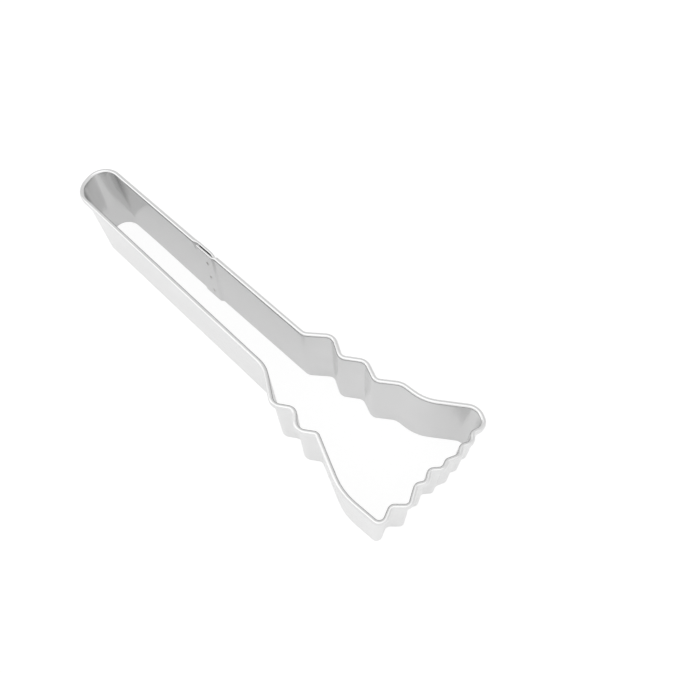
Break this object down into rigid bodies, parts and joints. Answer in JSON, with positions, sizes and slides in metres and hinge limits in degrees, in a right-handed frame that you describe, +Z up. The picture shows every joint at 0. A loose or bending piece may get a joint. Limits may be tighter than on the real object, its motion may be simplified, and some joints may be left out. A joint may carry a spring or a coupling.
{
  "type": "cookie cutter",
  "caption": "Broom-shaped cookie cutter bent from a tinplate strip with a rolled safety rim and a spot-welded lap joint in the handle.",
  "frame": {"origin": "middle of the footprint, in the plane of the cutting edge", "axes": "+X along the handle towards the bristles, +Y towards the side of the handle where the strip is lapped, +Z up, from the cutting edge to the rolled rim"},
  "size_m": [0.1294, 0.0376, 0.0254],
  "materials": {
    "tinplate": "bright tin-plated steel, smooth, fine rolling grain along the strip",
    "weld": "steel fused through the tin, dull grey with a heat mark"
  },
  "bodies": {
    "root": {"strip": "tinplate", "spot_weld_lower": "weld", "spot_weld_middle": "weld", "spot_weld_upper": "weld"}
  },
  "joints": []
}
